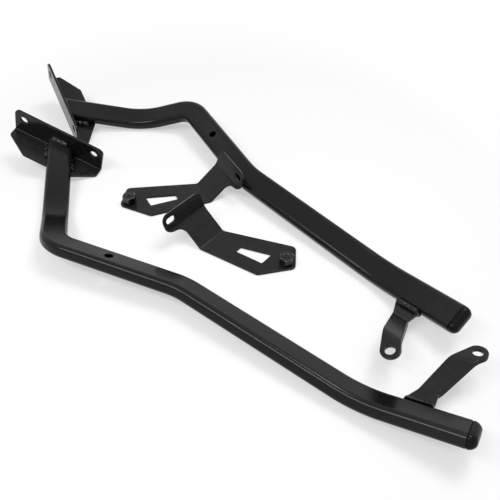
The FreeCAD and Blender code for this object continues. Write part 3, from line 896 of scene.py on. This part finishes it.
@dataclass
class SupportArm:
    """One bent tube arm with its plug, tail plate, side lug and welds.

    Sizes are in metres, angles in degrees.
    """

    side: Side
    yaw: float
    roll: float = -24.5
    pitch: float = -3.4
    tube_width: float = 0.0285
    tube_height: float = 0.0145
    tube_wall: float = 0.0015
    skin_corner: float = 0.0055
    leg_plate: float = 0.1025
    leg_elbow: float = 0.071
    leg_cross: float = 0.147
    leg_long: float = 0.200
    leg_tail: float = 0.0915
    bend_plate: float = 0.090
    bend_elbow: float = 0.032
    bend_cross: float = 0.090
    bend_tail: float = 0.150
    turn_elbow: float = 57.5
    turn_cross: float = 13.5
    drop_cross: float = 6.0
    rise_plate: float = 31.4
    rise_tail: float = 18.0
    hole_setback: float = 0.082
    hole: float = 0.009
    hole_steps: int = 40
    plate_skew: float = 27.0
    plate_shift: float = 0.0025
    lug_sheet: float = 0.004
    lug_root: float = 0.026
    lug_setback: float = 0.032
    lug_root_angle: float = 25.0
    bead_plate: float = 0.005
    bead_plate_length: float = 0.022
    bead_side_length: float = 0.019
    bead_margin: float = 0.003
    bead_lug: float = 0.0054
    bead_lug_sink: float = 0.0007
    seed_top: float = 1.3
    seed_side: float = 2.1
    seed_lug: float = 0.7
    edge_ease: float = 0.0004
    sheet_ease: float = 0.0006
    cap_head: float = 0.0085
    cap_lip: float = 0.0012
    cap_gap: float = 0.0004
    cap_neck_inset: float = 0.0022
    cap_seam_inset: float = 0.0007
    cap_ease_inset: float = 0.0003
    cap_lip_inset: float = 0.0001
    cap_dome_inset: float = 0.0052
    cap_dome_share: float = 0.965
    cap_dome_sweep: float = 84.0
    cap_dome_steps: int = 14
    cap_crown_shares: Triple = (0.75, 0.5, 0.25)
    cap_corner_ease: float = 0.25
    cap_corner_least: float = 0.0016
    cap_corner_fullest: float = 0.96
    cap_corner_steps: int = 8
    cap_crease: float = 55.0

    def __post_init__(self) -> None:
        """Work out the arm's centre line and where it lies."""
        hand = self.side.hand
        level = turned(-ALONG, UP, hand * self.turn_cross)
        self.cross_dir = turned(level, UP.cross(level), self.drop_cross)
        self.cross_up = ALONG.rotation_difference(-self.cross_dir) @ UP
        self.elbow_dir = turned(self.cross_dir, self.cross_up, -hand * self.turn_elbow)
        self.plate_side = self.cross_up.cross(self.elbow_dir)
        self.plate_dir = turned(self.elbow_dir, self.plate_side, -self.rise_plate)
        self.plate_up = self.plate_dir.cross(self.plate_side)
        self.plate_turn = self.cross_dir * self.leg_cross + self.elbow_dir * self.leg_elbow
        self.plate_end = self.plate_turn + self.plate_dir * self.leg_plate
        self.tail_dir = turned(ALONG, ACROSS, -self.rise_tail)
        self.tail_up = self.tail_dir.cross(ACROSS)
        self.tail_end = ALONG * self.leg_long + self.tail_dir * self.leg_tail
        turn = spun(self.yaw, "Z") @ spun(hand * self.roll, "X") @ spun(-self.pitch, "Y")
        mounts = {mount["name"]: mount for mount in frame["record"]["mounts"]}
        hole = Vector(mounts[self.side.node("tube_hole")]["pos_m"])
        setback = Matrix.Translation(-self.cross_dir * self.hole_setback)
        self.lie = Matrix.Translation(hole) @ turn @ setback

    def plate_frame(self) -> Matrix:
        """Work out the plate's frame.

        Returns:
            The frame at the middle of the plate's fold, in the arm's own frame.
        """
        hand = self.side.hand
        out = turned(-self.plate_dir, self.plate_up, -hand * self.plate_skew)
        fold = out.cross(self.plate_up)
        under = self.plate_up * (-self.tube_height / 2)
        middle = self.plate_end + under + fold * (hand * self.plate_shift)
        return axes(middle, fold, self.plate_up)

    def tail_frame(self) -> Matrix:
        """Frame at the tube's plugged end, in the arm's own frame."""
        return axes(self.tail_end, self.tail_dir, self.tail_up)

    def build(
        self, rack: FinishRack, bending: bpy.types.NodeTree, ripples: bpy.types.NodeTree
    ) -> None:
        """Build and dress every piece of the arm.

        Args:
            rack: The finishes.
            bending: The tree for the bent tube.
            ripples: The tree for the welds' ripples.
        """
        tube = self.tube(bending, rack.materials[Finish.ARM])
        rack.dress(tube, Finish.ARM, self.side.node("arm_tube"))
        for sheet in ("tail_plate", "side_lug"):
            node = self.side.node(sheet)
            rack.dress(softened_node(node, self.sheet_ease), Finish.ARM, node)
        rack.dress(self.cap(), Finish.CAP, self.side.node("end_cap"))
        for bead, lie in self.plate_beads() + self.lug_beads():
            made = bead.build(self.lie @ lie, ripples, rack.materials[Finish.WELD])
            rack.dress(made, Finish.WELD, bead.name.replace("_bead", "_weld"))

    def tube(
        self, bending: bpy.types.NodeTree, material: bpy.types.Material
    ) -> bpy.types.Object:
        """Bend the tube along its legs, give it a wall, drill it and mitre it.

        Args:
            bending: The tree that sweeps the section along the legs.
            material: The tube's coat.

        Returns:
            The tube, in place.
        """
        piece = self.tube_line()
        start = -self.plate_dir
        flat = Vector((start.y, -start.x, 0.0)).normalized()
        values = {
            "Width": self.tube_width,
            "Height": self.tube_height,
            "Corner": self.skin_corner,
            "Tilt": math.atan2(
                flat.cross(self.plate_side).dot(start), flat.dot(self.plate_side)
            ),
            "Finish": material,
        }
        run_tree(piece, bending, values)
        wall = piece.modifiers.new("Wall", "SOLIDIFY")
        wall.thickness = self.tube_wall
        wall.offset = -1.0
        wall.use_even_offset = True
        settle(piece)
        drill = self.drill()
        cut = piece.modifiers.new("Hole", "BOOLEAN")
        cut.object = drill
        cut.solver = "EXACT"
        settle(piece)
        bpy.data.objects.remove(drill)
        self.mitre(piece.data)
        piece.data.transform(self.lie)
        made = softened(piece.data, self.side.node("tube"), self.edge_ease)
        bpy.data.objects.remove(piece)
        return made

    def tube_line(self) -> bpy.types.Object:
        """Lay out the tube's legs, past the plate, with the radius of the bend at each corner.

        Returns:
            A piece of edges alone, in the arm's own frame.
        """
        corners = [
            (self.plate_end + self.plate_dir * self.tube_width, 0.0),
            (self.plate_turn, self.bend_plate),
            (self.cross_dir * self.leg_cross, self.bend_elbow),
            (Vector((0.0, 0.0, 0.0)), self.bend_cross),
            (ALONG * self.leg_long, self.bend_tail),
            (self.tail_end, 0.0),
        ]
        line = bpy.data.meshes.new(self.side.node("tube_line"))
        legs = [(index, index + 1) for index in range(len(corners) - 1)]
        line.from_pydata([place for place, radius in corners], legs, [])
        bends = line.attributes.new(BEND_ATTRIBUTE, "FLOAT", "POINT")
        for item, (place, radius) in zip(bends.data, corners):
            item.value = radius
        return new_piece(self.side.node("tube_line"), line)

    def drill(self) -> bpy.types.Object:
        """Make the cutter of the cross hole.

        Returns:
            The cutter, in the arm's own frame.
        """
        work = bmesh.new()
        bmesh.ops.create_cone(
            work,
            cap_ends=True,
            segments=self.hole_steps,
            radius1=self.hole / 2,
            radius2=self.hole / 2,
            depth=self.tube_width,
            matrix=axes(self.cross_dir * self.hole_setback, self.cross_dir, self.cross_up),
        )
        return as_piece(work, "drill")

    def mitre(self, mesh: bpy.types.Mesh) -> None:
        """Slide the tube's plate end along itself onto the plate's upright.

        Args:
            mesh: The tube in the arm's own frame, which runs past the plate.
        """
        plate = self.plate_frame()
        normal = plate.col[1].to_3d()
        origin = plate.translation
        for vertex in mesh.vertices:
            if (vertex.co - self.plate_end).dot(self.plate_dir) > self.tube_width / 2:
                gap = (origin - vertex.co).dot(normal) / self.plate_dir.dot(normal)
                vertex.co += self.plate_dir * gap

    def cap(self) -> bpy.types.Object:
        """Build the plug's head: a seam, a thin lip and a domed pillow.

        Returns:
            The head, in place.
        """
        wide, tall = self.tube_width / 2, self.tube_height / 2
        rings = [
            (-self.cap_lip, self.cap_neck_inset),
            (-self.cap_gap, self.cap_neck_inset),
            (0.0, self.cap_seam_inset),
            (self.cap_gap, self.cap_ease_inset),
            (self.cap_lip, self.cap_lip_inset),
        ]
        dome = (self.cap_head - self.cap_lip) * self.cap_dome_share
        for step in range(1, self.cap_dome_steps + 1):
            swing = math.radians(self.cap_dome_sweep * step / self.cap_dome_steps)
            inset = self.cap_lip_inset + self.cap_dome_inset * (1.0 - math.cos(swing))
            rings.append((self.cap_lip + dome * math.sin(swing), inset))
        work = bmesh.new()
        loops = []
        for x, inset in rings:
            corner = max(self.skin_corner - inset * self.cap_corner_ease, self.cap_corner_least)
            loops.append(self.cap_ring(work, x, wide - inset, tall - inset, corner))
        last_x, last_inset = rings[-1]
        for share in self.cap_crown_shares:
            x = last_x + (self.cap_head - last_x) * (1.0 - share**2)
            side, high = (wide - last_inset) * share, (tall - last_inset) * share
            loops.append(self.cap_ring(work, x, side, high, high))
        join_rings(work, loops)
        last = loops[-1]
        crown = work.verts.new((self.cap_head, 0.0, 0.0))
        for index, vertex in enumerate(last):
            work.faces.new((vertex, last[(index + 1) % len(last)], crown))
        work.faces.new(list(reversed(loops[0])))
        bmesh.ops.recalc_face_normals(work, faces=work.faces)
        piece = as_piece(work, self.side.node("cap_head"), self.lie @ self.tail_frame())
        shade_smooth(piece.data, math.radians(self.cap_crease))
        return piece

    def cap_ring(
        self, work: bmesh.types.BMesh, x: float, wide: float, tall: float, corner: float
    ) -> Ring:
        """Add one round-cornered ring of the plug's head.

        Args:
            work: The mesh being built.
            x: Distance out of the tube.
            wide: Half the ring's width.
            tall: Half the ring's height.
            corner: Radius of its corners.

        Returns:
            The ring's vertices.
        """
        ring = []
        fullest = self.cap_corner_fullest
        corner = min(corner, wide * fullest, tall * fullest)
        for quarter, (side, high) in enumerate(((1, 1), (-1, 1), (-1, -1), (1, -1))):
            for step in range(self.cap_corner_steps + 1):
                swing = math.radians(90.0 * quarter + 90.0 * step / self.cap_corner_steps)
                y = side * (wide - corner) + corner * math.cos(swing)
                z = high * (tall - corner) + corner * math.sin(swing)
                ring.append(work.verts.new((x, y, z)))
        return ring

    def plate_beads(self) -> list[tuple[WeldBead, Matrix]]:
        """Lay out the beads that hold the tube on its plate.

        Returns:
            Each bead with its frame in the arm's own frame.
        """
        hand = self.side.hand
        plate = self.plate_frame()
        inverse = plate.inverted()
        axis = inverse @ self.plate_end
        run = -(inverse.to_3x3() @ self.plate_dir)
        name = self.side.node("plate_top_bead")
        seed = self.seed_top * hand
        top = WeldBead(name, self.bead_plate_length, self.bead_plate, seed=seed)
        start = Vector((axis.x - self.bead_plate_length / 2, 0.0, self.tube_height))
        made = [(top, plate @ Matrix.Translation(start))]
        for word, sense in (("inner", hand), ("outer", -hand)):
            out = Vector((-run.y, run.x, 0.0)) * sense
            foot = axis + out * (self.tube_width / 2)
            near = min(foot.y, foot.y + out.y * self.bead_plate)
            begin = (self.bead_margin - near) / run.y
            origin = Vector((foot.x, foot.y, 0.0)) + run * begin
            name = self.side.node("plate_%s_bead" % word)
            seed = self.seed_side * sense
            bead = WeldBead(name, self.bead_side_length, self.bead_plate, seed=seed)
            lie = axes(origin, run, UP * sense)
            if sense < 0:
                lie = lie @ Matrix.Scale(-1.0, 4, UP)
            made.append((bead, plate @ lie))
        return made

    def lug_beads(self) -> list[tuple[WeldBead, Matrix]]:
        """Lay out the beads above and below the lug's root.

        Returns:
            Each bead with its frame in the arm's own frame.
        """
        hand = self.side.hand
        tail = self.tail_frame()
        start = self.lug_setback + (self.lug_root if hand > 0 else 0.0)
        inward = Matrix.Identity(4) if hand > 0 else Matrix.Rotation(math.pi, 4, "Z")
        half = self.lug_sheet / 2 / math.cos(math.radians(self.lug_root_angle))
        made = []
        for word, sense in (("lug_bead", 1), ("lug_under_bead", -1)):
            bead = WeldBead(
                self.side.node(word),
                self.lug_root,
                self.bead_lug,
                slope=sense * self.lug_root_angle,
                sink=self.bead_lug_sink,
                seed=self.seed_lug * hand + sense,
            )
            root = Vector((-start, hand * self.tube_width / 2, sense * half))
            lie = tail @ Matrix.Translation(root) @ inward
            if sense < 0:
                lie = lie @ Matrix.Scale(-1.0, 4, UP)
            made.append((bead, lie))
        return made


@dataclass
class StayBracket:
    """One folded stay with its weld nut and the nut's thread.

    Sizes are in metres, angles in degrees.
    """

    side: Side
    yaw: float
    sheet_ease: float = 0.0006
    nut_ease: float = 0.0003
    nut_flats: float = 0.014
    nut_chamfer: float = 0.0012
    nut_wear: float = 0.0005
    nut_steps: int = 96
    countersink: float = 0.0007
    bore: float = 0.0068
    thread_pitch: float = 0.00125
    ridge: float = 0.00042
    ridge_sunk: float = 0.35

    def build(self, rack: FinishRack, winding: bpy.types.NodeTree) -> None:
        """Build and dress the bracket, its nut and the thread.

        Args:
            rack: The finishes.
            winding: The tree for the thread.
        """
        node = self.side.node("stay_bracket")
        rack.dress(softened_node(node, self.sheet_ease), Finish.STAY, node)
        rack.dress(self.nut(), Finish.NUT, self.side.node("weld_nut"))
        rack.dress(self.thread(winding, rack.materials[Finish.NUT]), Finish.NUT)

    def thread(
        self, winding: bpy.types.NodeTree, material: bpy.types.Material
    ) -> bpy.types.Object:
        """Wind the thread up the nut's bore.

        Args:
            winding: The tree for the thread.
            material: The nut's plating.

        Returns:
            The thread, in place and worn bare all over.
        """
        low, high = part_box(self.side.node("weld_nut"))
        tall = high.z - low.z - 2 * self.thread_pitch
        values = {
            "Radius": self.bore / 2 + self.ridge * self.ridge_sunk,
            "Ridge": self.ridge,
            "Turns": tall / self.thread_pitch,
            "Height": tall,
            "Finish": material,
        }
        name = self.side.node("nut_thread")
        piece = new_piece(name, bpy.data.meshes.new(name))
        run_tree(piece, winding, values)
        worn = piece.data.attributes.new(WEAR_AND_SHEEN_ATTRIBUTE, "FLOAT", "POINT")
        for item in worn.data:
            item.value = 1.0
        middle = (low + high) / 2
        foot = Vector((middle.x, middle.y, low.z + self.thread_pitch))
        piece.data.transform(Matrix.Translation(foot))
        return piece

    def nut(self) -> bpy.types.Object:
        """Build the hexagon nut from rings: foot, sides, bevel, top and countersunk bore.

        Returns:
            The nut, in place, with how worn each corner is kept in an attribute.
        """
        low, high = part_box(self.side.node("weld_nut"))
        tall = high.z - low.z
        flat = self.nut_flats / 2
        corner = flat / math.cos(math.pi / 6)
        land = flat - self.nut_ease
        hole = self.bore / 2
        mouth = hole + self.countersink
        drop = self.nut_chamfer / (corner - flat)
        work = bmesh.new()
        wear_and_sheen = work.verts.layers.float.new(WEAR_AND_SHEEN_ATTRIBUTE)
        columns = []
        for step in range(self.nut_steps):
            swing = 2 * math.pi * step / self.nut_steps
            side = flat / math.cos(swing % (math.pi / 3) - math.pi / 6)
            side = min(side, corner - self.nut_ease)
            shoulder = tall - (side - land) * drop
            rows = (
                (hole, 0.0, 0.0),
                (side - self.nut_ease, 0.0, 0.0),
                (side, self.nut_ease, 0.0),
                (side, shoulder - self.nut_wear, 0.0),
                (side, shoulder, 1.0),
                (land, tall, 1.0),
                (land - self.nut_wear, tall, 0.0),
                (mouth + self.nut_wear, tall, 0.0),
                (mouth, tall, 1.0),
                (hole, tall - self.countersink, 0.5),
            )
            column = []
            for radius, height, worn in rows:
                place = (radius * math.cos(swing), radius * math.sin(swing), height)
                vertex = work.verts.new(place)
                vertex[wear_and_sheen] = worn
                column.append(vertex)
            columns.append(column)
        loops = [list(ring) for ring in zip(*columns)]
        join_rings(work, loops + loops[:1])
        bmesh.ops.recalc_face_normals(work, faces=work.faces)
        middle = (low + high) / 2
        seat = Matrix.Translation((middle.x, middle.y, low.z))
        piece = as_piece(work, self.side.node("nut_hexagon"), seat @ spun(self.yaw, "Z"))
        shade_smooth(piece.data, SHARP_FROM / 2)
        return piece


@dataclass(frozen=True)
class Softbox:
    """One soft lamp: its place, the point that it faces, its size in metres and its watts."""

    name: str
    place: Triple
    aim: Triple
    size: tuple[float, float]
    power: float

    def hang(self) -> None:
        """Put the lamp in the scene, where the camera doesn't see it."""
        lamp = bpy.data.lights.new(self.name, "AREA")
        lamp.shape = "RECTANGLE"
        lamp.size, lamp.size_y = self.size
        lamp.energy = self.power
        box = bpy.data.objects.new(self.name, lamp)
        box.location = self.place
        aim = Vector(self.aim) - Vector(self.place)
        box.rotation_euler = aim.to_track_quat("-Z", "Y").to_euler()
        box.visible_camera = False
        bpy.context.scene.collection.objects.link(box)


@dataclass
class Studio:
    """White floor, three soft lamps and the camera.

    Sizes are in metres, angles in degrees, pixels in the 500 by 500 frame.
    """

    frame_pixels: float = 500.0
    focal_pixels: float = 584.138
    sensor: float = 36.0
    distance: float = 0.6390
    nearest: float = 0.01
    elevation: float = 47.37
    heading: float = 34.20
    floor_half: float = 2.5
    floor_drop: float = 0.0002
    floor_colour: Triple = (0.44, 0.44, 0.44)
    floor_lift: float = 0.50
    fade_from: float = 0.35
    fade_over: float = 0.9
    horizon: float = 0.05
    zenith: float = 1.10
    dome_power: float = 4.0
    overhead: Softbox = Softbox("overhead", (0.25, 0.35, 1.15), KIT_MIDDLE, (0.45, 0.45), 7.0)
    edge: Softbox = Softbox("edge", (-0.20, -0.72, 1.15), (-0.20, -0.72, 0.0), (0.80, 0.28), 9.0)
    behind: Softbox = Softbox("behind", (-0.70, 1.45, 0.28), KIT_MIDDLE, (2.4, 0.7), 1.2)

    def build(self) -> None:
        """Make the floor, the room, the lamps and the camera."""
        self.floor()
        self.backdrop()
        for lamp in (self.overhead, self.edge, self.behind):
            lamp.hang()
        self.camera()

    @staticmethod
    def seen(graph: Graph) -> Wire:
        """Mask of the rays that show the background: the eye's, and those mirrored or let through.

        Args:
            graph: Tree of the floor or the room.

        Returns:
            1 for those rays, else 0.
        """
        rays = ("Is Camera Ray", "Is Glossy Ray", "Is Transmission Ray")
        masks = [graph.node("ShaderNodeLightPath", output=name) for name in rays]
        return sum(masks[1:], masks[0]).capped()

    def floor(self) -> None:
        half = self.floor_half
        mesh = bpy.data.meshes.new("floor")
        corners = [(-half, -half, 0.0), (half, -half, 0.0), (half, half, 0.0), (-half, half, 0.0)]
        mesh.from_pydata(corners, [], [(0, 1, 2, 3)])
        floor = new_piece("floor", mesh)
        floor.location.z = -self.floor_drop
        material = bpy.data.materials.new("floor_white")
        material.use_nodes = True
        graph = Graph(material.node_tree)
        material.node_tree.nodes.clear()
        paper = graph.node("ShaderNodeBsdfDiffuse", {}, {"Color": (*self.floor_colour, 1.0)})
        place = {0: graph.node("ShaderNodeTexCoord", output="Object")}
        reach = graph.node("ShaderNodeVectorMath", {"operation": "LENGTH"}, place, output="Value")
        away = ((reach - self.fade_from) / self.fade_over).capped()
        white = self.floor_lift + away * (1.0 - self.floor_lift)
        lift = graph.node("ShaderNodeEmission", {}, {"Strength": self.seen(graph) * white})
        both = graph.node("ShaderNodeAddShader", {}, {0: paper, 1: lift})
        graph.node("ShaderNodeOutputMaterial", {}, {"Surface": both})
        mesh.materials.append(material)

    def backdrop(self) -> None:
        world = bpy.data.worlds.new("studio")
        bpy.context.scene.world = world
        world.use_nodes = True
        graph = Graph(world.node_tree)
        world.node_tree.nodes.clear()
        mask = self.seen(graph)
        heading = {"Vector": graph.node("ShaderNodeTexCoord", output="Generated")}
        height = graph.node("ShaderNodeSeparateXYZ", {}, heading, output="Z").capped()
        dome = self.horizon + height ** self.dome_power * (self.zenith - self.horizon)
        light = {"Color": (1.0, 1.0, 1.0, 1.0), "Strength": dome * (1.0 - mask) + mask}
        sky = graph.node("ShaderNodeBackground", {}, light)
        graph.node("ShaderNodeOutputWorld", {}, {"Surface": sky})

    def camera(self) -> None:
        """Set up the camera at the photograph's angle."""
        data = bpy.data.cameras.new("camera")
        data.sensor_width = self.sensor
        data.lens = self.sensor * self.focal_pixels / self.frame_pixels
        data.clip_start = self.nearest
        heading = math.radians(self.heading)
        elevation = math.radians(self.elevation)
        level = Vector((-math.sin(heading), math.cos(heading), 0.0))
        view = level * math.cos(elevation) - UP * math.sin(elevation)
        camera = bpy.data.objects.new("camera", data)
        camera.location = Vector(KIT_MIDDLE) - view * self.distance
        camera.rotation_euler = view.to_track_quat("-Z", "Y").to_euler()
        bpy.context.scene.collection.objects.link(camera)
        bpy.context.scene.camera = camera


def main() -> None:
    logging.basicConfig(level=logging.INFO, format="%(name)s: %(message)s")
    bpy.context.scene.view_settings.view_transform = "Standard"
    Studio().build()
    rack = FinishRack()
    bending = bending_tree()
    ripples = ripple_tree()
    winding = thread_tree()
    for arm in (SupportArm(Side.LEFT, yaw=0.0), SupportArm(Side.RIGHT, yaw=-12.5)):
        arm.build(rack, bending, ripples)
    for stay in (StayBracket(Side.LEFT, yaw=-7.0), StayBracket(Side.RIGHT, yaw=-116.3)):
        stay.build(rack, winding)


if __name__ == "__main__":
    main()
